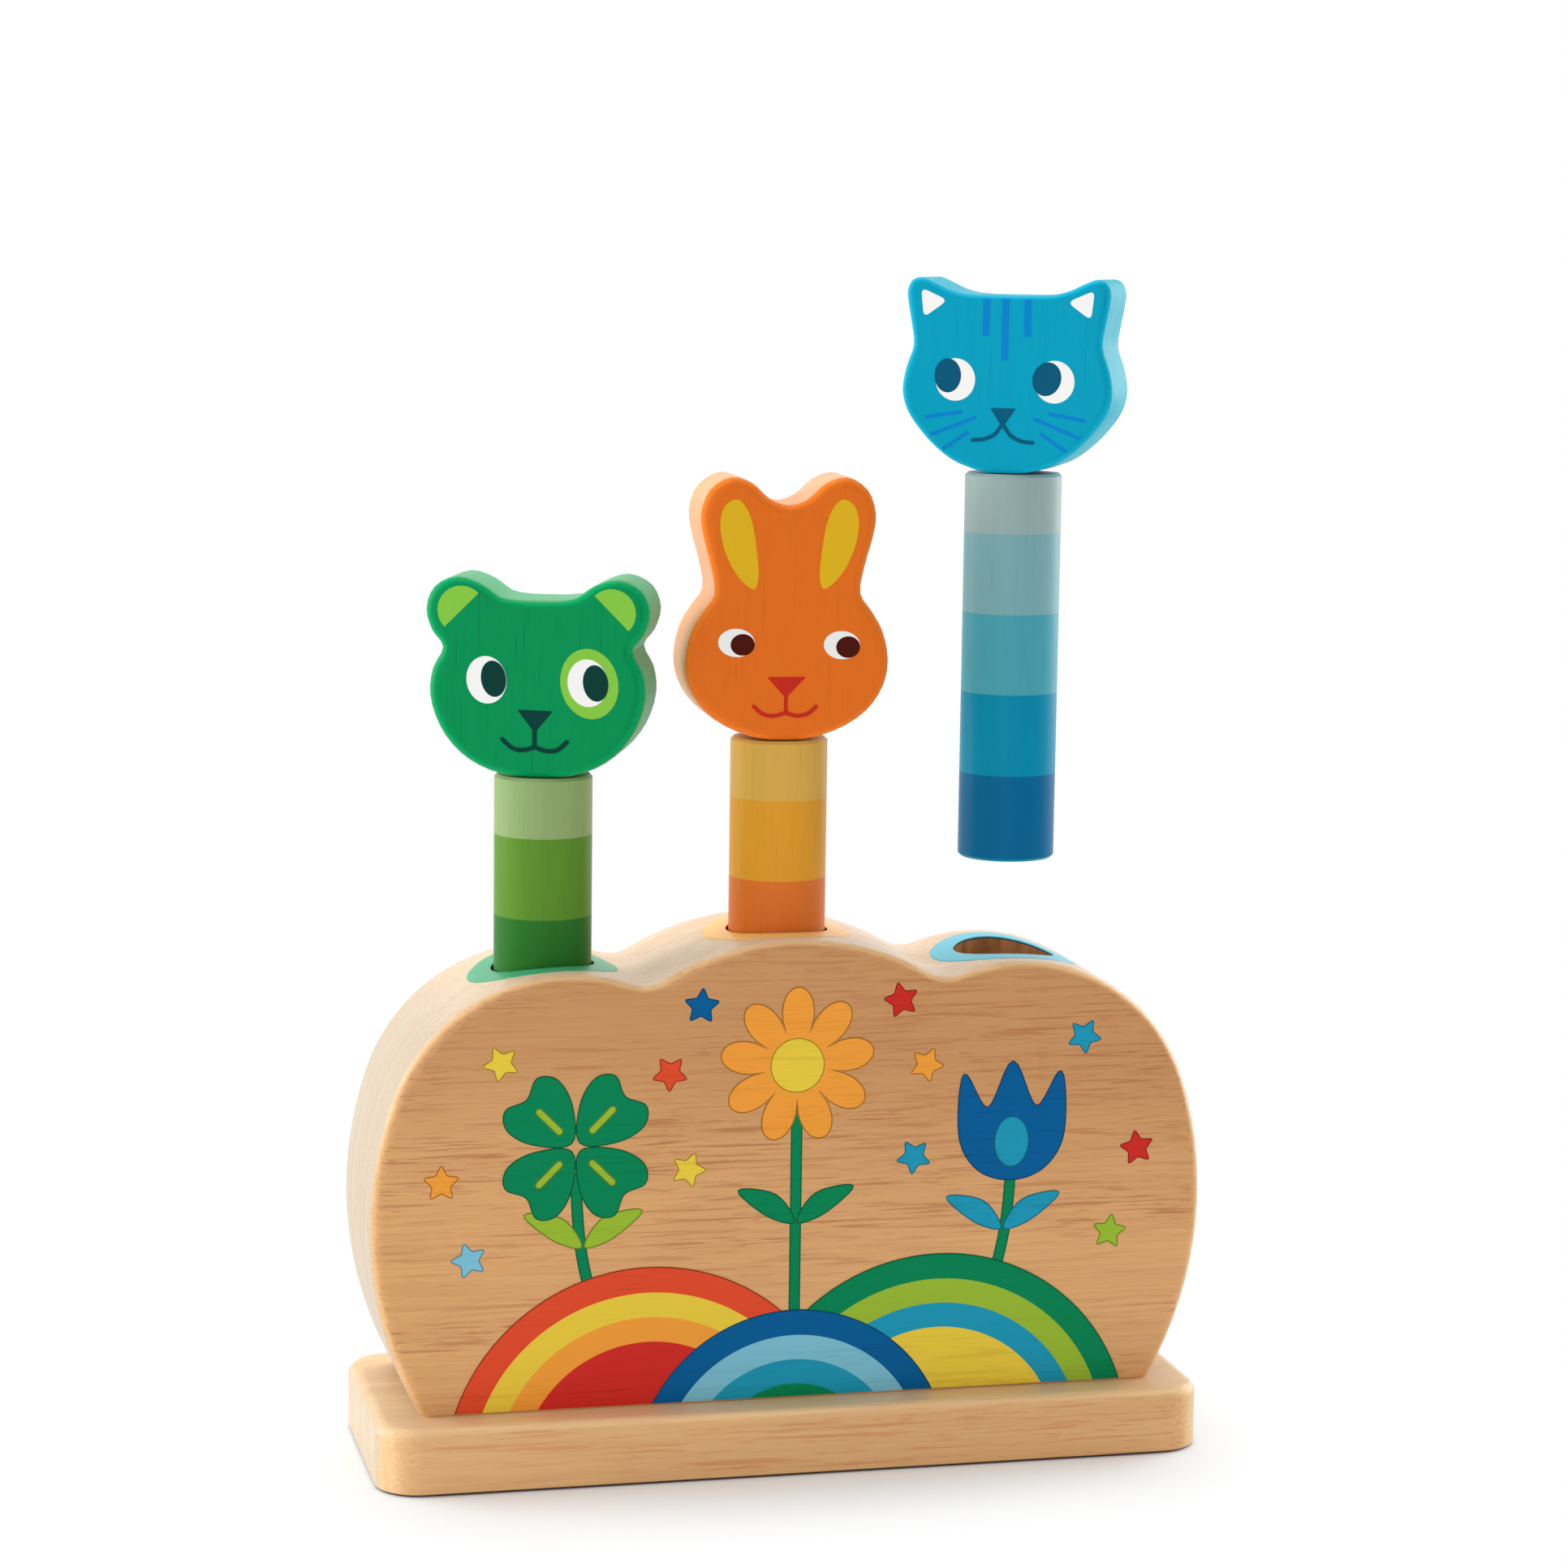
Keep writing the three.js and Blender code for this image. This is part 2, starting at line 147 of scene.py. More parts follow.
# Inks of the picture on the block
PICTURE_INKS = {
    "yellow": rgb(230, 200, 64), "orange": rgb(238, 156, 58), "red_orange": rgb(222, 76, 44), "red": rgb(204, 44, 38),
    "blue": rgb(0, 92, 150), "turquoise": rgb(28, 150, 182), "pale_blue": rgb(122, 190, 212),
    "green": rgb(0, 130, 82), "lime": rgb(150, 184, 52),
}

# Wood tones of the two broad sides, the rounding next to them, the top, the ends and the streaks. The rounding, the
# top and the ends are the same wood, made paler as painted light, with a painted highlight on the rounding.
BLOCK_TONES_WITH_PAINTED_LIGHT = (rgb(220, 168, 110), rgb(231, 187, 131), rgb(225, 202, 172), rgb(191, 178, 153), rgb(172, 104, 60))
BASE_TONES_WITH_PAINTED_LIGHT = (rgb(227, 182, 126), rgb(241, 204, 151), rgb(233, 202, 156), rgb(209, 193, 160), rgb(196, 108, 60))
# Darker wood of the broad bands, and also the painted shade on the block's upper broad sides
WOOD_BAND_AND_UPPER_SHADE = rgb(188, 134, 84)
WOOD_STREAK = rgb(182, 98, 56)
# Painted contact shade at the base plate's foot
FOOT_PAINTED_SHADE = rgb(60, 36, 20)
WOOD_BORE = rgb(190, 130, 80)
WOOD_BORE_DARK = rgb(156, 100, 56)
WOOD_DOWEL = rgb(218, 184, 138)

# Head colours of the face, the rounding next to it (lighter, as a painted highlight) and the sides, of patches on the
# sides that are partly wear and partly painted shade and highlight, and of the inks on it
HEAD_FRONT = {"bear": rgb(0, 140, 80), "rabbit": rgb(225, 110, 32), "cat": rgb(0, 154, 186)}
HEAD_RIM_HIGHLIGHT = {"bear": rgb(0, 156, 90), "rabbit": rgb(240, 124, 38), "cat": rgb(0, 168, 202)}
HEAD_SIDE = {"bear": rgb(92, 174, 124), "rabbit": rgb(232, 168, 122), "cat": rgb(34, 166, 188)}
HEAD_WEAR_AND_PAINTED_LIGHT = {"bear": rgb(146, 134, 84), "rabbit": rgb(238, 210, 182), "cat": rgb(92, 192, 204)}
CRACKED = {"bear": 0.4, "rabbit": 0.12, "cat": 0.3}
PUPIL = {"bear": rgb(0, 56, 50), "rabbit": rgb(72, 18, 6), "cat": rgb(0, 84, 116)}
NOSE = {"bear": rgb(0, 58, 52), "rabbit": rgb(196, 44, 28), "cat": rgb(0, 86, 118)}
EYE_WHITE = rgb(240, 240, 238)
BEAR_LIME = rgb(130, 194, 66)
RABBIT_YELLOW = rgb(222, 178, 32)
CAT_STRIPE = rgb(0, 126, 200)

RING = {"bear": rgb(70, 168, 122), "rabbit": rgb(248, 194, 108), "cat": rgb(93, 187, 206)}

# Bands of each shaft from its top down, with the lower end of each as a share of the shaft's length
BAND_END_SHARES = (0.845, 0.637, 0.43, 0.222, 0)
BANDS = {
    "bear": (rgb(140, 166, 108), rgb(90, 138, 44), rgb(42, 112, 38), rgb(14, 104, 60), rgb(0, 80, 56)),
    "rabbit": (rgb(212, 166, 78), rgb(218, 152, 44), rgb(216, 114, 44), rgb(206, 84, 36), rgb(180, 54, 28)),
    "cat": (rgb(146, 170, 168), rgb(118, 166, 172), rgb(72, 156, 172), rgb(0, 134, 168), rgb(0, 98, 144)),
}

SPRING_STEEL = rgb(196, 198, 202)
SCREW_STEEL = rgb(186, 186, 188)
STEEL_SCRATCH = rgb(120, 122, 126)
FLOOR_SEEN = rgb(241, 244, 246)
FLOOR_BOUNCE = rgb(247, 247, 247)
BRIGHT = (1, 1, 1, 1)

# Waves of each noise to a metre of X, Y and Z. Planks have their grain along X, and turned and sawn pieces along Z.
LONG_STREAKS = (42, 1150, 1150)
SHORT_STREAKS = (120, 1900, 1900)
STREAK_ROWS = (8, 70, 70)
PLANK_BANDS = (6, 70, 70)
PLANK_FIBRES = (25, 1100, 1100)
END_RINGS = (20, 420, 16)
DRILL_MARKS = (260, 260, 70)
DOWEL_FIBRES = (900, 900, 40)
STEEL_SCRATCHES = (2500, 2500, 300)
PAINT_GRAIN = (1300, 1300, 60)
PAINT_CRACKS = (2600, 2600, 45)
PAINT_PATCHES = (60, 60, 40)
PAINT_WEAR = (70, 70, 70)

# Shares of the darker wood in broad bands and in fibres, and of the painted shade on the block's broad sides, which
# comes in between two heights that fall towards +X. The base plate's painted contact shade at its foot comes in
# between two heights too, from the upper one down.
BAND_SHARE = 0.24
FIBRE_SHARE = 0.14
UPPER_SHADE_SHARE = 0.68
UPPER_SHADE_HEIGHTS = (62 * MM, 114 * MM)
UPPER_SHADE_SLANT = 0.1
FOOT_SHADE_HEIGHTS = (0.9 * MM, 0.5 * MM)

# Depth of the relief in each surface
WOOD_RELIEF = 0.012 * MM
DOWEL_RELIEF = 0.03 * MM
PAINT_RELIEF = 0.015 * MM
INK_RELIEF = 0.008 * MM

COAT_ROUGHNESS = 0.18
WELD_DISTANCE = 0.001 * MM
CRISP_ANGLE = math.radians(32)


class Shader:
    """A node material whose sockets are set by short calls."""

    def __init__(self, name):
        self.material = bpy.data.materials.new(name)
        self.material.use_nodes = True
        self.tree = self.material.node_tree
        self.surface = self.tree.nodes["Principled BSDF"]

    def node(self, kind, **settings):
        made = self.tree.nodes.new(kind)
        for key, value in settings.items():
            setattr(made, key, value)
        return made

    def link(self, source, target):
        self.tree.links.new(source, target)

    def put(self, target, value):
        if isinstance(value, bpy.types.NodeSocket):
            self.link(value, target)
        else:
            target.default_value = value

    def axes(self):
        """X, Y and Z of the place in the object's own frame."""
        split = self.node("ShaderNodeSeparateXYZ")
        self.link(self.node("ShaderNodeTexCoord").outputs["Object"], split.inputs["Vector"])
        return split.outputs

    def length(self, x, y):
        """The length of a flat vector."""
        flat = self.node("ShaderNodeCombineXYZ")
        self.link(x, flat.inputs["X"])
        self.link(y, flat.inputs["Y"])
        made = self.node("ShaderNodeVectorMath", operation="LENGTH")
        self.link(flat.outputs["Vector"], made.inputs[0])
        return made.outputs["Value"]

    def noise(self, waves, detail=3, distortion=0):
        """Noise of 0 to 1, with so many waves to a metre in each direction of the object's own frame."""
        mapping = self.node("ShaderNodeMapping")
        mapping.inputs["Scale"].default_value = waves
        self.link(self.node("ShaderNodeTexCoord").outputs["Object"], mapping.inputs["Vector"])
        made = self.node("ShaderNodeTexNoise")
        self.link(mapping.outputs["Vector"], made.inputs["Vector"])
        made.inputs["Scale"].default_value = 1
        made.inputs["Detail"].default_value = detail
        made.inputs["Distortion"].default_value = distortion
        return made.outputs["Fac"]

    def ranged(self, value, source=(0, 1), target=(0, 1), kind="LINEAR"):
        """A value of one range as the same share of another range."""
        made = self.node("ShaderNodeMapRange", interpolation_type=kind)
        self.link(value, made.inputs["Value"])
        for name, ends in (("From", source), ("To", target)):
            made.inputs[name + " Min"].default_value, made.inputs[name + " Max"].default_value = ends
        return made.outputs["Result"]

    def window(self, value, low, high):
        """0 below low, 1 above high and smooth between them."""
        return self.ranged(value, source=(low, high), kind="SMOOTHSTEP")

    def span(self, value, low, high):
        """A value of 0 to 1 spread over another range."""
        return self.ranged(value, target=(low, high))

    def math(self, operation, first, second):
        made = self.node("ShaderNodeMath", operation=operation)
        self.put(made.inputs[0], first)
        self.put(made.inputs[1], second)
        return made.outputs["Value"]

    def times(self, first, second):
        return self.math("MULTIPLY", first, second)

    def mix(self, share, first, second):
        """The first colour at a share of 0 and the second at 1."""
        made = self.node("ShaderNodeMix", data_type="RGBA")
        self.put(made.inputs[0], share)
        self.put(made.inputs[6], first)
        self.put(made.inputs[7], second)
        return made.outputs[2]

    def facing(self, direction, low, high):
        """1 where the surface faces a direction of the object's own frame."""
        dot = self.node("ShaderNodeVectorMath", operation="DOT_PRODUCT")
        self.link(self.node("ShaderNodeTexCoord").outputs["Normal"], dot.inputs[0])
        dot.inputs[1].default_value = direction
        return self.window(dot.outputs["Value"], low, high)

    def either(self, direction, low, high):
        """1 where the surface faces a direction or the opposite one."""
        ahead = self.facing(direction, low, high)
        return self.math("MAXIMUM", ahead, self.facing(-Vector(direction), low, high))

    def bump(self, height, depth):
        made = self.node("ShaderNodeBump")
        self.link(height, made.inputs["Height"])
        made.inputs["Distance"].default_value = depth
        self.link(made.outputs["Normal"], self.surface.inputs["Normal"])

    def finish(self, colour, roughness, specular=0.5, coat=0, metallic=0):
        self.put(self.surface.inputs["Base Color"], colour)
        self.put(self.surface.inputs["Roughness"], roughness)
        self.surface.inputs["Specular IOR Level"].default_value = specular
        self.surface.inputs["Coat Weight"].default_value = coat
        self.surface.inputs["Coat Roughness"].default_value = COAT_ROUGHNESS
        self.surface.inputs["Metallic"].default_value = metallic
        return self.material


def plank_streaks(shader):
    """Long and short streaks of wood grain along X, in rows, as a mask of 0 to 1."""
    long = shader.window(shader.noise(LONG_STREAKS, 3, 0.3), 0.55, 0.66)
    short = shader.window(shader.noise(SHORT_STREAKS, 2, 0.2), 0.58, 0.68)
    rows = shader.window(shader.noise(STREAK_ROWS, 2, 0.6), 0.26, 0.62)
    return shader.times(shader.math("MAXIMUM", long, shader.times(short, 0.7)), rows)


def inside_bores(shader):
    """1 within the three bores and 0 outside them, from the place in the object's own frame."""
    place = shader.axes()
    nearest = shader.node("ShaderNodeMath", operation="WRAP")
    shader.link(place["X"], nearest.inputs[0])
    nearest.inputs[1].default_value = -PEG_SPACING / 2
    nearest.inputs[2].default_value = PEG_SPACING / 2
    distance = shader.length(nearest.outputs["Value"], place["Y"])
    wide = shader.math("LESS_THAN", distance, BORE_RADIUS + BORE_SLACK)
    return shader.times(wide, shader.math("GREATER_THAN", place["Z"], BORE_FOOT))


def lacquered_wood(name, tones, streak_share, bored=False):
    """Satin lacquered plank with its grain along X, darker and more streaked on its two broad sides than elsewhere,
    where it is paler as painted light.

    The bored one is the block, with painted shade on its broad sides towards its top and cut wood in its bores. The
    other is the base plate, with painted contact shade at its foot where it meets the floor.
    """
    shader = Shader(name)
    place = shader.axes()
    broad, painted_rim_highlight, top, end, streak = tones
    # Painted light: the top and the ends get paler tones than the broad sides, and the rounding a lighter tone as a
    # painted highlight.
    face = shader.either((0, 1, 0), 0.7, 0.98)
    rounding = shader.either((0, 1, 0), 0.2, 0.6)
    ends = shader.either((1, 0, 0), 0.4, 0.85)
    tone = shader.mix(face, shader.mix(rounding, shader.mix(ends, top, end), painted_rim_highlight), broad)
    rings = shader.mix(ends, shader.noise(PLANK_BANDS, 3, 0.9), shader.noise(END_RINGS, 2, 0.6))
    bands = shader.window(rings, 0.3, 0.75)
    shade = shader.mix(shader.times(bands, BAND_SHARE), tone, WOOD_BAND_AND_UPPER_SHADE)
    if bored:
        # Painted shade: the broad sides darken towards the top and towards +X.
        slant = shader.math("ADD", shader.times(place["X"], UPPER_SHADE_SLANT), place["Z"])
        heart = shader.times(shader.window(slant, *UPPER_SHADE_HEIGHTS), face)
        shade = shader.mix(shader.times(heart, UPPER_SHADE_SHARE), shade, WOOD_BAND_AND_UPPER_SHADE)
    fibres = shader.noise(PLANK_FIBRES, 2)
    shade = shader.mix(shader.times(shader.window(fibres, 0.35, 0.65), FIBRE_SHARE), shade, streak)
    streaks = plank_streaks(shader)
    # Painted light also fades the streaks off the broad sides to a third.
    strength = shader.times(streaks, shader.span(face, streak_share / 3, streak_share))
    shade = shader.mix(strength, shade, streak)
    if bored:
        marks = shader.window(shader.noise(DRILL_MARKS, 3, 0.5), 0.35, 0.7)
        shade = shader.mix(inside_bores(shader), shade, shader.mix(marks, WOOD_BORE, WOOD_BORE_DARK))
    else:
        # Painted contact shade: the base plate darkens at its foot.
        shade = shader.mix(shader.window(place["Z"], *FOOT_SHADE_HEIGHTS), shade, FOOT_PAINTED_SHADE)
    shader.bump(shader.math("SUBTRACT", fibres, streaks), WOOD_RELIEF)
    return shader.finish(shade, shader.span(bands, 0.34, 0.44), specular=0.2, coat=0.15)


def bare_wood(name, colour):
    shader = Shader(name)
    fibres = shader.noise(DOWEL_FIBRES, 3, 0.3)
    tone = shader.mix(shader.times(fibres, 0.35), colour, WOOD_STREAK)
    shader.bump(fibres, DOWEL_RELIEF)
    return shader.finish(tone, 0.6, specular=0.3)


def metal(name, colour, roughness):
    shader = Shader(name)
    scratches = shader.noise(STEEL_SCRATCHES, 2)
    shade = shader.mix(shader.times(scratches, 0.3), colour, STEEL_SCRATCH)
    return shader.finish(shade, shader.span(scratches, roughness, roughness + 0.15), metallic=1)


def grained_paint(shader, colour, pore_colour, grain_share, crack_share):
    """Paint that lets a trace of the upright grain under it show, with a few hairline cracks."""
    grain = shader.window(shader.noise(PAINT_GRAIN, 3, 0.4), 0.5, 0.75)
    cracks = shader.window(shader.noise(PAINT_CRACKS, 2, 0.2), 0.66, 0.72)
    patches = shader.noise(PAINT_PATCHES, 2)
    shade = shader.mix(shader.times(grain, grain_share), colour, pore_colour)
    shade = shader.mix(shader.times(cracks, crack_share), shade, pore_colour)
    shader.bump(shader.math("SUBTRACT", patches, shader.math("ADD", grain, cracks)), PAINT_RELIEF)
    return shade


def head_paint(animal, front_direction):
    """Opaque colour on the face, the rounding round it and the back, the rounding lighter as a painted highlight, and
    a thinner wash of it on the sides, with patches that are partly wear and partly painted shade and highlight.
    """
    shader = Shader(animal + "_head_paint")
    # Patches on the sides: partly wear, partly painted shade and highlight.
    wear_and_painted_light = shader.window(shader.noise(PAINT_WEAR, 5, 0.8), 0.46, 0.72)
    side = shader.mix(shader.times(wear_and_painted_light, 0.4), HEAD_SIDE[animal], HEAD_WEAR_AND_PAINTED_LIGHT[animal])
    # Painted highlight: the rounding next to the face is lighter than the face.
    edge = shader.mix(shader.facing(front_direction, 0.25, 0.5), side, HEAD_RIM_HIGHLIGHT[animal])
    colour = shader.mix(shader.either(front_direction, 0.75, 0.97), edge, HEAD_FRONT[animal])
    shade = grained_paint(shader, colour, PUPIL[animal], 0.05, CRACKED[animal])
    return shader.finish(shade, 0.4, specular=0.05)


def band_paint(animal, foot, top):
    """Five painted bands up a shaft, told apart by the height in the object's own frame."""
    shader = Shader(animal + "_band_paint")
    ramp = shader.node("ShaderNodeValToRGB")
    shader.link(shader.ranged(shader.axes()["Z"], source=(foot, top)), ramp.inputs["Fac"])
    ramp.color_ramp.interpolation = "CONSTANT"
    stops = list(zip(BAND_END_SHARES, BANDS[animal]))[::-1]
    for element, (share, colour) in zip(ramp.color_ramp.elements, stops):
        element.position, element.color = share, colour
    for share, colour in stops[len(ramp.color_ramp.elements):]:
        ramp.color_ramp.elements.new(share).color = colour
    end_grain = shader.facing((0, 0, -1), 0.5, 0.9)
    colour = shader.mix(end_grain, ramp.outputs["Color"], HEAD_SIDE[animal])
    return shader.finish(grained_paint(shader, colour, PUPIL[animal], 0.06, 0.15), 0.34, specular=0.07)


def darker(colour, share):
    return tuple(channel * share for channel in colour[:3]) + (1,)


def ring_paint(animal):
    """Satin paint round a bore's mouth, with painted shade where it runs down the bore's wall."""
    shader = Shader(animal + "_ring_paint")
    # Painted shade: the paint is darker where it faces sideways, down the bore's wall.
    level = shader.facing((0, 0, 1), 0.1, 0.5)
    colour = shader.mix(level, darker(RING[animal], 0.35), RING[animal])
    grain = plank_streaks(shader)
    shade = shader.mix(shader.times(grain, 0.3), colour, darker(RING[animal], 0.7))
    shader.bump(grain, INK_RELIEF)
    return shader.finish(shade, 0.34, specular=0.16, coat=0.08)


inks = {}


def ink(name, colour, on_plank=False):
    """Printed ink, made once for each name. A plank's streaks show faintly through the picture on it."""
    if name not in inks:
        shader = Shader(name)
        grain, share = (plank_streaks(shader), 0.4) if on_plank else (shader.noise(PAINT_GRAIN, 2), 0.1)
        shade = shader.mix(shader.times(grain, share), colour, darker(colour, 0.7))
        shader.bump(grain, INK_RELIEF)
        inks[name] = shader.finish(shade, 0.4, specular=0.06)
    return inks[name]


# Pieces

def soften(piece):
    """Smooth shading over round stretches and crisp real edges, without a change to the mesh itself."""
    for polygon in piece.data.polygons:
        polygon.use_smooth = True
    piece.modifiers.new("weld", "WELD").merge_threshold = WELD_DISTANCE
    piece.modifiers.new("split", "EDGE_SPLIT").split_angle = CRISP_ANGLE
    piece.modifiers.new("normals", "WEIGHTED_NORMAL")


def finish_node(name, material):
    piece = frame["nodes"][name]
    piece.data.materials.clear()
    piece.data.materials.append(material)
    soften(piece)


def new_piece(name, vertices, faces, materials, body):
    mesh = bpy.data.meshes.new(name)
    mesh.from_pydata([tuple(v) for v in vertices], [], faces)
    for material in materials:
        mesh.materials.append(material)
    piece = bpy.data.objects.new(name, mesh)
    bpy.context.scene.collection.objects.link(piece)
    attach(piece, body)
    return piece


def peg_axis(animal):
    """The X of the axis of a peg and of its bore."""
    return sum(corner.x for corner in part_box(animal + "_shaft")) / 2


def on_circle(angle):
    """The level direction at an angle from +X."""
    return Vector((math.cos(angle), math.sin(angle), 0))


# Flat outlines, in millimetres across and up

def ellipse(x, y, half_width, half_height, tilt=0, points=48):
    turn = math.radians(tilt)
    outline = []
    for step in range(points):
        angle = 2 * math.pi * step / points
        across, up = half_width * math.cos(angle), half_height * math.sin(angle)
        outline.append((x + across * math.cos(turn) - up * math.sin(turn),
                        y + across * math.sin(turn) + up * math.cos(turn)))
    return outline


def half_disc(x, y, radius, start, points=24):
    """The half of a disc that begins at an angle, closed by a straight line."""
    angles = [math.radians(start + 180 * step / points) for step in range(points + 1)]
    return [(x + radius * math.cos(a), y + radius * math.sin(a)) for a in angles]


def star(x, y, radius, turn, tips=5, inner_share=0.5):
    outline = []
    for step in range(2 * tips):
        angle = math.radians(90 + turn) + math.pi * step / tips
        reach = radius if step % 2 == 0 else radius * inner_share
        outline.append((x + reach * math.cos(angle), y + reach * math.sin(angle)))
    return outline


def neighbours(points, i, offsets):
    """Points of a closed outline, counted from one of them."""
    return [Vector(points[(i + k) % len(points)]) for k in offsets]


def curve(a, b, c, d, steps):
    """Points of the Catmull-Rom curve from b up to c, without c itself."""
    for step in range(steps):
        t = step / steps
        yield 0.5 * (2 * b + (c - a) * t + (2 * a - 5 * b + 4 * c - d) * t * t + (3 * b - a - 3 * c + d) * t ** 3)


def smooth(points, steps=6):
    """A closed curve through the points."""
    return [tuple(p) for i in range(len(points)) for p in curve(*neighbours(points, i, (-1, 0, 1, 2)), steps)]


def arch(points, steps=8):
    """An open curve through three or more points."""
    ends = [Vector(p) for p in (points[0], *points, points[-1])]
    return [p for i in range(len(points) - 1) for p in curve(*ends[i:i + 4], steps)] + [ends[-1]]


def rounded(points, radius, steps=5):
    """A polygon with each corner cut by a small curve."""
    outline = []
    for i in range(len(points)):
        before, corner, after = neighbours(points, i, (-1, 0, 1))
        start = corner + (before - corner).normalized() * radius
        end = corner + (after - corner).normalized() * radius
        for step in range(steps + 1):
            t = step / steps
            outline.append(tuple((1 - t) ** 2 * start + 2 * t * (1 - t) * corner + t * t * end))
    return outline


def runs_left(outline):
    """Whether an outline runs anticlockwise."""
    return sum(outline[i - 1][0] * outline[i][1] - outline[i][0] * outline[i - 1][1] for i in range(len(outline))) > 0


def grown(points, width):
    """An outline moved outwards all round."""
    outward = width if runs_left(points) else -width
    outline = []
    for i in range(len(points)):
        before, corner, after = neighbours(points, i, (-1, 0, 1))
        along = ((corner - before).normalized() + (after - corner).normalized()).normalized()
        outline.append((corner.x + along.y * outward, corner.y - along.x * outward))
    return outline


def stroke(points, width, cap_steps=6):
    """The outline of a line drawn with a round brush."""
    line = arch(points) if len(points) > 2 else [Vector(p) for p in points]
    sides = ([], [])
    for i, point in enumerate(line):
        along = (line[min(i + 1, len(line) - 1)] - line[max(i - 1, 0)]).normalized()
        across = Vector((-along.y, along.x)) * (width / 2)
        sides[0].append(point + across)
        sides[1].append(point - across)

    def cap(centre, start):
        return [centre + Matrix.Rotation(-math.pi * k / cap_steps, 2) @ start for k in range(1, cap_steps)]

    end_cap = cap(line[-1], sides[0][-1] - line[-1])
    start_cap = cap(line[0], sides[1][0] - line[0])
    return [tuple(p) for p in sides[0] + end_cap + sides[1][::-1] + start_cap]


class Face:
    """A flat face of a piece, on which thin ink films are laid one over another."""

    def __init__(self, name, body, origin, across, normal):
        self.name, self.body = name, body
        self.origin, self.across, self.normal = origin, across, normal
        self.vertices, self.faces, self.materials, self.slots = [], [], [], []

    def film(self, outline, material, layer):
        """One closed film of ink. Films of one layer lie beside each other, and a pair of inks adds a thin line."""
        if isinstance(material, tuple):
            material, line = material
            self.film([(u, max(v, PRINT_FOOT)) for u, v in grown(outline, LINE_WIDTH)], line, layer - 0.5)
        if material not in self.materials:
            self.materials.append(material)
        count, base = len(outline), len(self.vertices)
        top = layer * FILM_STEP
        for lift in (top, top - FILM):
            for u, v in outline:
                flat = self.origin + self.across * (u * MM) + Vector((0, 0, v * MM))
                self.vertices.append(flat + self.normal * lift)
        films = []
        for a, b, c in tessellate_polygon([[Vector((u, v, 0)) for u, v in outline]]):
            (ax, ay), (bx, by), (cx, cy) = outline[a], outline[b], outline[c]
            if (bx - ax) * (cy - ay) < (by - ay) * (cx - ax):
                b, c = c, b
            films += [(a, b, c), (c + count, b + count, a + count)]
        left = runs_left(outline)
        for i in range(count):
            k = (i + 1) % count
            films.append((i, i + count, k + count, k) if left else (i, k, k + count, i + count))
        self.faces += [tuple(base + i for i in face) for face in films]
        self.slots += [self.materials.index(material)] * len(films)

    def build(self):
        piece = new_piece(self.name, self.vertices, self.faces, self.materials, self.body)
        for polygon, slot in zip(piece.data.polygons, self.slots):
            polygon.material_index = slot


def front_side(node):
    """The normal and the middle of the largest upright polygon of a node that faces the front."""
    best = max((p for p in frame["nodes"][node].data.polygons if p.normal.y < -0.5 and abs(p.normal.z) < 0.01),
               key=lambda p: p.area)
    return best.normal.normalized(), Vector(best.center)


def head_face(animal):
    """The printable face of a head: its origin is the chin, in the middle of the front."""
    node = animal + "_head"
    normal, centre = front_side(node)
    low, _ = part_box(node)
    axis_x = peg_axis(animal)
    reach = (centre - Vector((axis_x, 0, 0))).dot(normal)
    origin = Vector((axis_x, 0, low.z)) + normal * reach
    across = Vector((-normal.y, normal.x, 0))
    return Face(animal + "_face_print", animal + "_face", origin, across, normal)


def face_inks(animal):
    """The inks of the eyes' whites, the pupils and the nose."""
    white = ink("white_ink", EYE_WHITE)
    return white, ink(animal + "_pupil_ink", PUPIL[animal]), ink(animal + "_nose_ink", NOSE[animal])


def bear_print():
    face = head_face("bear")
    lime = ink("lime_ink", BEAR_LIME)
    white, pupil, nose = face_inks("bear")
    face.film(half_disc(-19, 41.8, 6.1, 45), lime, 1)
    face.film(half_disc(19, 41.8, 6.1, -45), lime, 1)
    face.film(ellipse(13.5, 24.0, 7.3, 8.9, 12), lime, 1)
    face.film(ellipse(-12.6, 24.4, 5.1, 6, 8), white, 2)
    face.film(ellipse(13.1, 24.2, 5.1, 6, 8), white, 2)
    face.film(ellipse(-10.8, 24.7, 3.2, 4.6, 8), pupil, 3)
    face.film(ellipse(15.1, 24.2, 3.2, 4.6, 8), pupil, 3)
    face.film(rounded([(-4.8, 17.1), (4.4, 16.9), (-0.3, 11.3)], 0.6), nose, 1)
    face.film(stroke([(-0.3, 12.6), (-0.3, 7.8)], 1.2), nose, 2)
    face.film(stroke([(-8.5, 9.5), (-6, 7.4), (-3.2, 6.9), (-0.3, 7.7)], 1.15), nose, 3)
    face.film(stroke([(-0.3, 7.7), (2.8, 6.8), (5.6, 7.2), (7.9, 9.2)], 1.15), nose, 4)
    face.build()


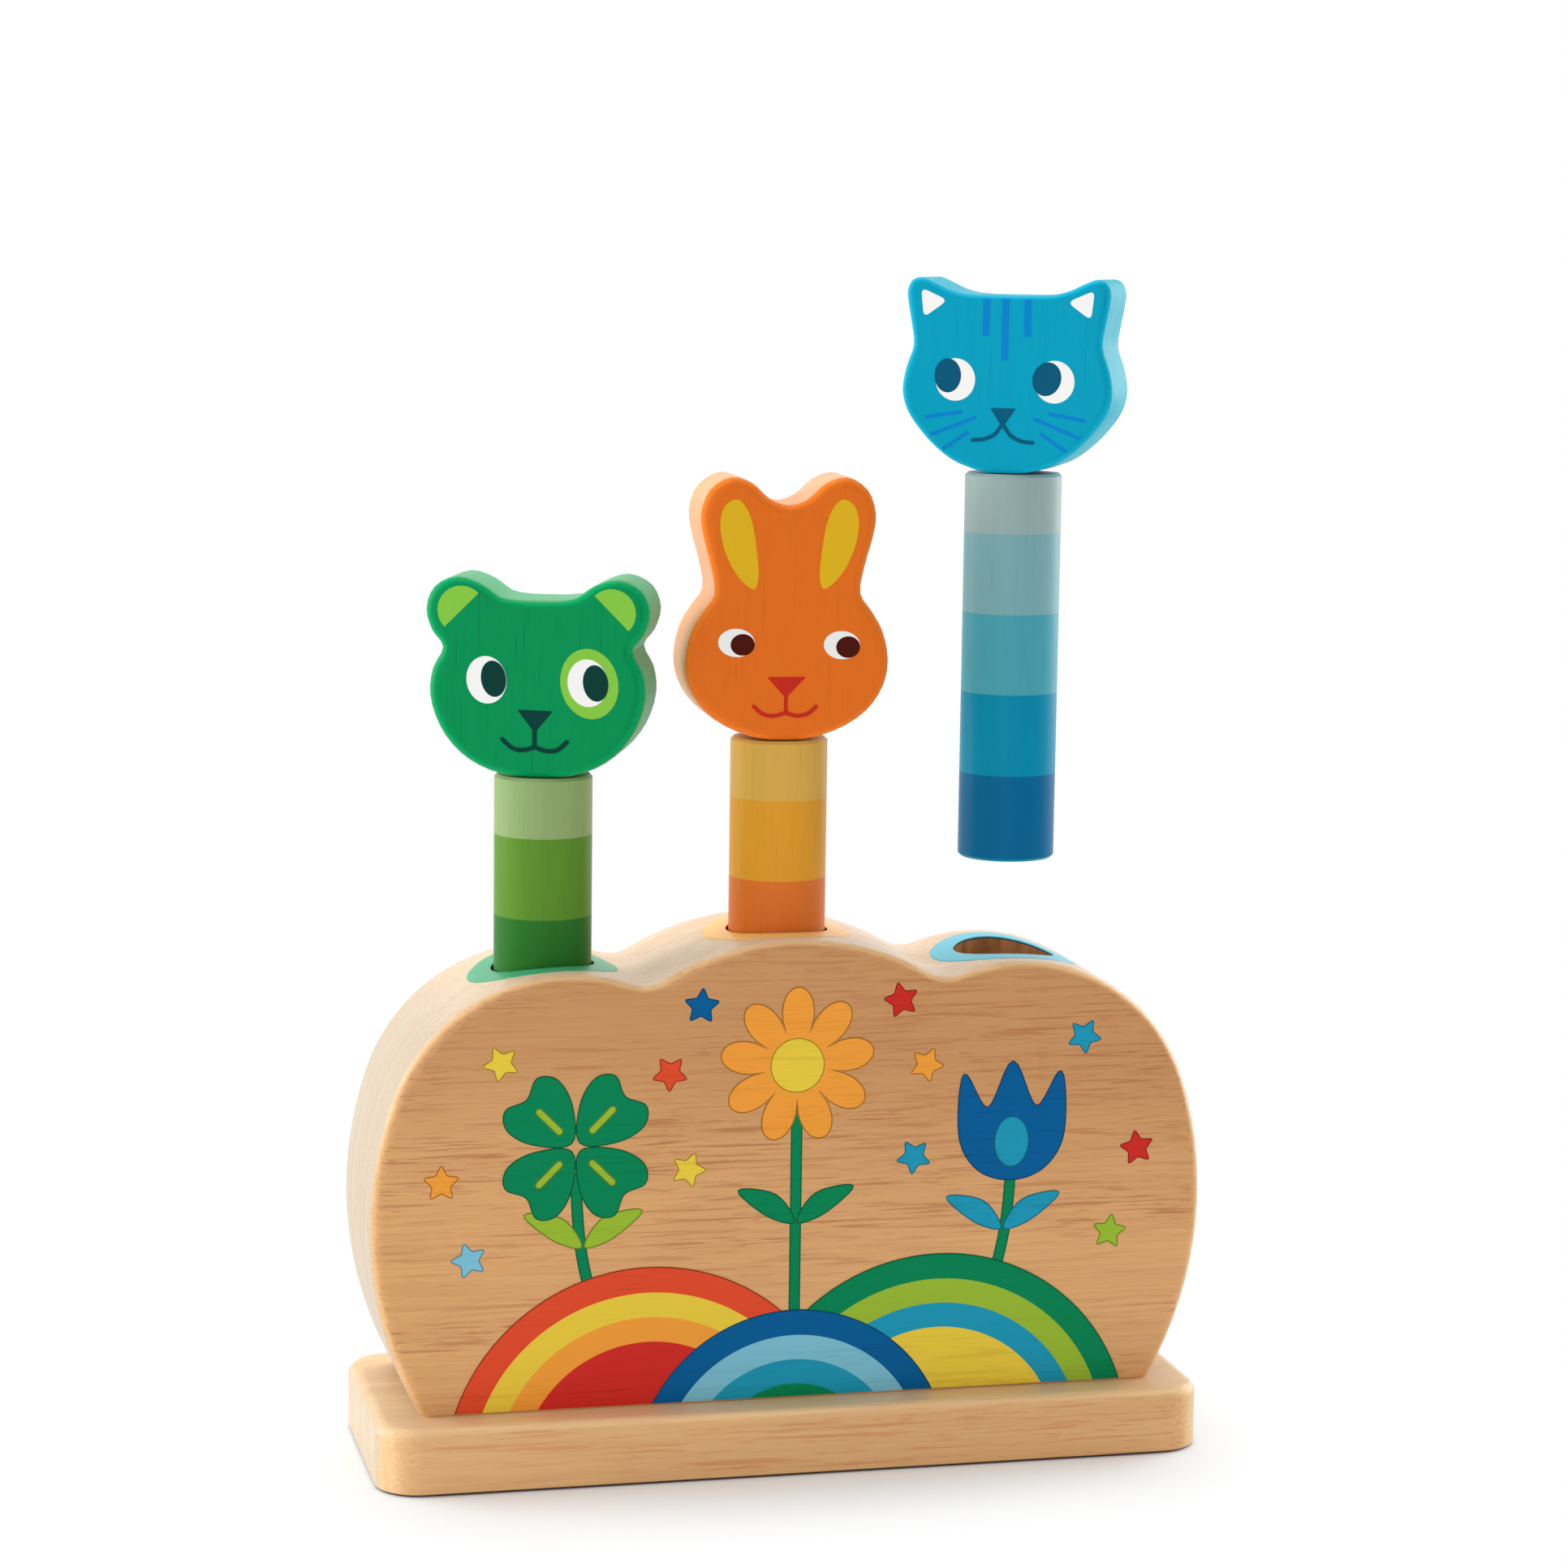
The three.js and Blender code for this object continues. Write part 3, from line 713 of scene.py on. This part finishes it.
def rabbit_print():
    face = head_face("rabbit")
    yellow = ink("ear_yellow_ink", RABBIT_YELLOW)
    white, pupil, nose = face_inks("rabbit")
    ear = [(9.2, 38.6), (7.9, 41.5), (8.2, 46.8), (9.4, 54.5), (11.2, 59.2), (13.7, 61.3),
           (16.6, 59.6), (17.8, 55.2), (16.6, 48.5), (13.4, 42.2)]
    face.film(smooth(ear), yellow, 1)
    face.film(smooth([(-x, y) for x, y in ear[::-1]]), yellow, 1)
    face.film(ellipse(-13.3, 25.0, 4.7, 3.6, -4), white, 1)
    face.film(ellipse(13.9, 24.3, 4.7, 3.6, -4), white, 1)
    face.film(ellipse(-11.7, 24.5, 3.1, 2.75), pupil, 2)
    face.film(ellipse(15.5, 23.8, 3.1, 2.75), pupil, 2)
    face.film(rounded([(-5.4, 16.3), (4.8, 16.3), (-0.4, 10.8)], 0.6), nose, 1)
    face.film(stroke([(-0.4, 11.8), (-0.4, 7.2)], 1.0), nose, 2)
    face.film(stroke([(-8.7, 8.8), (-6.4, 6.9), (-3.6, 6.3), (-0.4, 7.1)], 1.05), nose, 3)
    face.film(stroke([(-0.4, 7.1), (2.6, 6.3), (5.4, 6.9), (7.4, 8.6)], 1.05), nose, 4)
    face.build()


def cat_print():
    face = head_face("cat")
    stripe = ink("cat_stripe_ink", CAT_STRIPE)
    white, pupil, nose = face_inks("cat")
    for side in (-1, 1):
        face.film(rounded([(side * 22.6, 46.8), (side * 15.6, 43.7), (side * 21.8, 39.2)], 1.9), white, 1)
    top, half = 44.2, 0.9
    for x, low in ((-5.4, 34.8), (-0.4, 28.7), (5.4, 34.8)):
        face.film(rounded([(x - half, top), (x - half, low), (x + half, low), (x + half, top)], 0.4), stripe, 1)
    whiskers = (((11.6, 15.4), (20.6, 13.9)), ((7.8, 14.0), (19.2, 9.5)), ((9.6, 10.2), (15.9, 6.0)))
    for whisker in whiskers:
        for side in (-1, 1):
            face.film(stroke([(side * x, y) for x, y in whisker], 0.95), stripe, 1)
    face.film(ellipse(-13.2, 23.6, 5.2, 5.4), white, 1)
    face.film(ellipse(12.7, 23.5, 5.2, 5.4), white, 1)
    face.film(ellipse(-15.2, 24.6, 3.5, 4.35), pupil, 2)
    face.film(ellipse(10.7, 24.2, 3.7, 4.35, -18), pupil, 2)
    face.film(rounded([(-3.9, 16.6), (2.9, 16.6), (-0.6, 11.5)], 0.5), nose, 1)
    face.film(stroke([(-0.6, 12.6), (-2.6, 9.9), (-5.4, 8.6), (-8.4, 8.3)], 1.0), nose, 2)
    face.film(stroke([(-0.6, 12.6), (1.6, 9.7), (4.4, 8.3), (7.4, 8.0)], 1.0), nose, 3)
    face.build()


# The picture on the block: three striped hills, a clover, a daisy and a tulip, and small stars

def hill_band(x, z, outer, inner):
    """The part of a round hill between two radii that lies over the picture's foot."""
    def edge(radius):
        start = math.asin((PRINT_FOOT - z) / radius)
        angles = (start + (math.pi - 2 * start) * step / ARC_STEPS for step in range(ARC_STEPS + 1))
        return [(x + radius * math.cos(a), z + radius * math.sin(a)) for a in angles]
    crest = edge(outer)
    return crest + edge(inner)[::-1] if inner > PRINT_FOOT - z else crest


def striped_hill(face, x, z, radius, colours, layer):
    face.film(hill_band(x, z, radius + LINE_WIDTH, 0), colours[0][1], layer - 0.5)
    for step, (colour, _) in enumerate(colours):
        outer = radius - STRIPE_WIDTH * step
        inner = outer - STRIPE_WIDTH if step < len(colours) - 1 else 0
        face.film(hill_band(x, z, outer, inner), colour, layer)


def daisy(face, x, y, radius, petal, heart, layer, petals=9, points=180):
    """Petals as one scalloped outline, with a round heart over them."""
    outline = []
    for step in range(points):
        angle = 2 * math.pi * step / points
        reach = radius * (0.42 + 0.58 * abs(math.cos(petals * angle / 2)) ** 0.55)
        outline.append((x - reach * math.sin(angle), y + reach * math.cos(angle)))
    face.film(outline, petal, layer)
    face.film(ellipse(x, y, radius * 0.34, radius * 0.34), heart, layer + 1)


def clover(face, x, y, radius, leaf, vein, layer):
    """Four heart shaped leaves with a pale vein in each."""
    heart = [(0.08, 0), (0.42, -0.34), (0.78, -0.44), (0.98, -0.28), (0.88, 0), (0.98, 0.28), (0.78, 0.44),
             (0.42, 0.34)]
    for step in range(4):
        turn = Matrix.Rotation(math.radians(45 + 90 * step), 2)
        place = [turn @ Vector((u * radius, v * radius)) for u, v in heart]
        face.film(smooth([(x + p.x, y + p.y) for p in place]), leaf, layer)
        ends = [turn @ Vector((reach * radius, 0)) for reach in (0.3, 0.66)]
        face.film(stroke([(x + p.x, y + p.y) for p in ends], 1.5), vein, layer + 1)


def tulip(face, x, y, petal, heart, layer):
    cup = [(0, -15), (9, -12), (14, -3), (13, 13), (6.5, 4), (0, 16), (-6.5, 4), (-13, 13), (-14, -3), (-9, -12)]
    face.film(smooth([(x + u, y + v) for u, v in cup]), petal, layer)
    face.film(ellipse(x, y - 5, 4.4, 6.4), heart, layer + 1)


def leaf_pair(face, x, y, size, colour, layer):
    leaf = [(0.03, 0.02), (0.5, 0.15), (1, 0.6), (0.35, 0.5)]
    for side in (-1, 1):
        face.film(smooth([(x + side * u * size, y + v * size) for u, v in leaf]), colour, layer)


def hill_picture():
    low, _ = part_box("hill_block")
    origin = Vector((0, low.y, low.z))
    face = Face("block_picture", "root", origin, Vector((1, 0, 0)), Vector((0, -1, 0)))
    inked = {}
    for name, colour in PICTURE_INKS.items():
        inked[name] = (ink(name + "_print", colour, True), ink(name + "_line", darker(colour, 0.4), True))
    for x, top in ((-57, 60), (0, 76), (57, 58)):
        face.film(stroke([(x * 0.86, 14), (x * 0.97, 40), (x, top)], 2.4), inked["green"], 1)
    for x, y, colour in ((-55, 42, "lime"), (0, 46, "green"), (55, 42, "turquoise")):
        leaf_pair(face, x, y, 15, inked[colour], 2)
    clover(face, -57, 68, 20, inked["green"], inked["lime"], 3)
    daisy(face, 0, 87, 20, inked["orange"], inked["yellow"], 3)
    tulip(face, 57, 70, inked["blue"], inked["turquoise"], 3)
    hills = (
        (-38, -16, 52, ("red_orange", "yellow", "orange", "red")),
        (38, -16, 52, ("green", "lime", "turquoise", "yellow")),
        (0, -18, 41, ("blue", "pale_blue", "turquoise", "green")),
    )
    for layer, (x, z, radius, colours) in enumerate(hills, 5):
        striped_hill(face, x, z, radius, [inked[c] for c in colours], layer)
    stars = ((-91, 60, "orange"), (-84, 40, "pale_blue"), (-33, 86, "red_orange"), (-28, 61, "yellow"),
             (-25, 103, "blue"), (27, 103, "red"), (31, 62, "turquoise"), (34, 86, "orange"),
             (84, 40, "lime"), (91, 62, "red"), (-76, 90, "yellow"), (76, 92, "turquoise"))
    for step, (x, y, colour) in enumerate(stars):
        face.film(rounded(star(x, y, 4.6, 17 * step), 0.5, 3), inked[colour], 1)
    face.build()


def mouth_ring(animal):
    """A painted ring that follows the hill's top round a bore's mouth, with paint run a little into the bore."""
    node = frame["nodes"]["hill_block"]
    tree = BVHTree.FromPolygons([v.co for v in node.data.vertices], [p.vertices for p in node.data.polygons])
    axis_x = peg_axis(animal)
    top = CAD_BOX[1].z
    reaches = [RING_INNER + (RING_OUTER - RING_INNER) * step / RING_STEPS_ACROSS
               for step in range(RING_STEPS_ACROSS + 1)]
    over, under = FILM_STEP * 1.5, FILM_STEP / 2
    back, front = BORE_RADIUS - RUN_BACK, BORE_RADIUS - RUN_FRONT
    loops = [(reach, over) for reach in reaches] + [(reach, under) for reach in reaches[::-1]]
    loops += [(back, -RUN_LENGTH), (front, -RUN_LENGTH), (front, over)]
    vertices = []
    for radius, lift in loops:
        for step in range(RING_STEPS_AROUND):
            outward = on_circle(2 * math.pi * step / RING_STEPS_AROUND)
            above = Vector((axis_x, 0, top)) + outward * max(radius, RING_INNER)
            hit = tree.ray_cast(above, Vector((0, 0, -1)))[0]
            vertices.append(Vector((axis_x, 0, hit.z + lift)) + outward * radius)
    faces = []
    for loop in range(len(loops)):
        near, far = loop * RING_STEPS_AROUND, (loop + 1) % len(loops) * RING_STEPS_AROUND
        for step in range(RING_STEPS_AROUND):
            beside = (step + 1) % RING_STEPS_AROUND
            faces.append((near + step, far + step, far + beside, near + beside))
    piece = new_piece(animal + "_mouth_ring", vertices, faces, [ring_paint(animal)], "root")
    for polygon in piece.data.polygons:
        polygon.use_smooth = True


def spring(animal, steel):
    """A wound spring in place of the frame's plain one, carried by the body of its top end."""
    low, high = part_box(animal + "_spring")
    axis_x = (low.x + high.x) / 2
    radius = (high.x - low.x - SPRING_WIRE) / 2
    rise = high.z - low.z - SPRING_WIRE
    active = SPRING_CURLS - 2
    pitch = (rise - 2 * SPRING_END_PITCH) / active
    vertices = []
    steps = SPRING_CURLS * SPRING_STEPS
    for step in range(steps + 1):
        turn = step / SPRING_STEPS
        lower, upper = min(turn, 1), max(turn - 1 - active, 0)
        z = low.z + SPRING_WIRE / 2 + (lower + upper) * SPRING_END_PITCH + (turn - lower - upper) * pitch
        outward = on_circle(2 * math.pi * turn)
        centre = Vector((axis_x, 0, z)) + outward * radius
        for side in range(SPRING_SIDES):
            around = 2 * math.pi * side / SPRING_SIDES
            spoke = outward * math.cos(around) + Vector((0, 0, math.sin(around)))
            vertices.append(centre + spoke * SPRING_WIRE / 2)
    faces = []
    for ring in range(steps):
        for side in range(SPRING_SIDES):
            a, b = ring * SPRING_SIDES + side, ring * SPRING_SIDES + (side + 1) % SPRING_SIDES
            faces.append((a, a + SPRING_SIDES, b + SPRING_SIDES, b))
    faces.append(tuple(range(SPRING_SIDES)))
    faces.append(tuple(steps * SPRING_SIDES + side for side in reversed(range(SPRING_SIDES))))
    piece = new_piece(animal + "_spring_wire", vertices, faces, [steel], animal + "_spring_top")
    for polygon in piece.data.polygons:
        polygon.use_smooth = len(polygon.vertices) == 4
    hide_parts(animal + "_spring")
    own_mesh(piece)


# Camera, floor and light

def camera():
    back = Vector((math.sin(CAMERA_AZIMUTH) * math.cos(CAMERA_ELEVATION),
                   -math.cos(CAMERA_AZIMUTH) * math.cos(CAMERA_ELEVATION), math.sin(CAMERA_ELEVATION)))
    right = on_circle(CAMERA_AZIMUTH)
    up = back.cross(right)
    turned_right = right * math.cos(CAMERA_ROLL) + up * math.sin(CAMERA_ROLL)
    turned_up = back.cross(turned_right)
    data = bpy.data.cameras.new("camera")
    data.lens = CAMERA_LENS
    data.sensor_width = CAMERA_SENSOR
    made = bpy.data.objects.new("camera", data)
    axes = Matrix((turned_right, turned_up, back)).transposed().to_4x4()
    made.matrix_world = Matrix.Translation(CAMERA_TARGET + back * CAMERA_DISTANCE) @ axes
    bpy.context.scene.collection.objects.link(made)
    bpy.context.scene.camera = made


def seen_directly(tree):
    """1 for rays from the camera and for those that gloss or glass sends on."""
    path = tree.nodes.new("ShaderNodeLightPath")
    total = path.outputs["Is Camera Ray"]
    for name in ("Is Glossy Ray", "Is Transmission Ray"):
        largest = tree.nodes.new("ShaderNodeMath")
        largest.operation = "MAXIMUM"
        tree.links.new(total, largest.inputs[0])
        tree.links.new(path.outputs[name], largest.inputs[1])
        total = largest.outputs["Value"]
    return total


def blend_shaders(tree, share, first, second, output):
    """The first shader at a share of 0 and the second at 1, as the surface of a world or a material."""
    mix = tree.nodes.new("ShaderNodeMixShader")
    for source, target in zip((share, first, second), mix.inputs):
        tree.links.new(source, target)
    tree.links.new(mix.outputs["Shader"], tree.nodes[output].inputs["Surface"])


def world():
    """Even white light, before a backdrop that looks plain white."""
    made = bpy.data.worlds.new("studio")
    made.use_nodes = True
    tree = made.node_tree
    light = tree.nodes["Background"]
    light.inputs["Color"].default_value = BRIGHT
    light.inputs["Strength"].default_value = WORLD_STRENGTH
    backdrop = tree.nodes.new("ShaderNodeBackground")
    backdrop.inputs["Color"].default_value = BRIGHT
    blend_shaders(tree, seen_directly(tree), light.outputs["Background"], backdrop.outputs["Background"],
                  "World Output")
    bpy.context.scene.world = made


def floor():
    """A pale floor that fades into the white backdrop away from the toy."""
    mesh = bpy.data.meshes.new("floor")
    corners = [(x * FLOOR_HALF, y * FLOOR_HALF, 0) for x, y in ((-1, -1), (1, -1), (1, 1), (-1, 1))]
    mesh.from_pydata(corners, [], [(0, 1, 2, 3)])
    made = bpy.data.objects.new("floor", mesh)
    bpy.context.scene.collection.objects.link(made)
    shader = Shader("floor")
    seen = seen_directly(shader.tree)
    diffuse = shader.node("ShaderNodeBsdfDiffuse")
    shader.link(shader.mix(seen, FLOOR_BOUNCE, FLOOR_SEEN), diffuse.inputs["Color"])
    glow = shader.node("ShaderNodeEmission")
    place = shader.axes()
    beside = shader.math("SUBTRACT", shader.math("ABSOLUTE", place["X"], 0), FLOOR_STRETCH)
    distance = shader.length(shader.times(shader.math("MAXIMUM", beside, 0), FLOOR_SIDE_WEIGHT), place["Y"])
    share = shader.times(shader.window(distance, *FLOOR_FADE), seen)
    blend_shaders(shader.tree, share, diffuse.outputs["BSDF"], glow.outputs["Emission"], "Material Output")
    mesh.materials.append(shader.material)


def lamp(name, place, aim, width, watts):
    data = bpy.data.lights.new(name, "AREA")
    data.energy = watts
    data.shape = "DISK"
    data.size = width
    made = bpy.data.objects.new(name, data)
    made.location = place
    made.rotation_euler = (Vector(aim) - Vector(place)).to_track_quat("-Z", "Y").to_euler()
    bpy.context.scene.collection.objects.link(made)


camera()
world()
floor()
for lamp_name, settings in LAMPS.items():
    lamp(lamp_name, *settings)

spring_steel = metal("spring_steel", SPRING_STEEL, 0.25)
screw_steel = metal("screw_steel", SCREW_STEEL, 0.3)
dowel_wood = bare_wood("dowel_wood", WOOD_DOWEL)

finish_node("base_plate", lacquered_wood("base_wood", BASE_TONES_WITH_PAINTED_LIGHT, streak_share=0.42))
finish_node("hill_block", lacquered_wood("block_wood", BLOCK_TONES_WITH_PAINTED_LIGHT, streak_share=0.68, bored=True))
for side in ("left", "right"):
    finish_node(side + "_block_dowel", dowel_wood)
    finish_node(side + "_screw", screw_steel)
for animal in ANIMALS:
    shaft_low, shaft_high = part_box(animal + "_shaft")
    finish_node(animal + "_shaft", band_paint(animal, shaft_low.z, shaft_high.z))
    finish_node(animal + "_dowel", dowel_wood)
    finish_node(animal + "_head", head_paint(animal, front_side(animal + "_head")[0]))
    mouth_ring(animal)
    spring(animal, spring_steel)
bear_print()
rabbit_print()
cat_print()
hill_picture()

bpy.context.scene.view_settings.view_transform = "Standard"
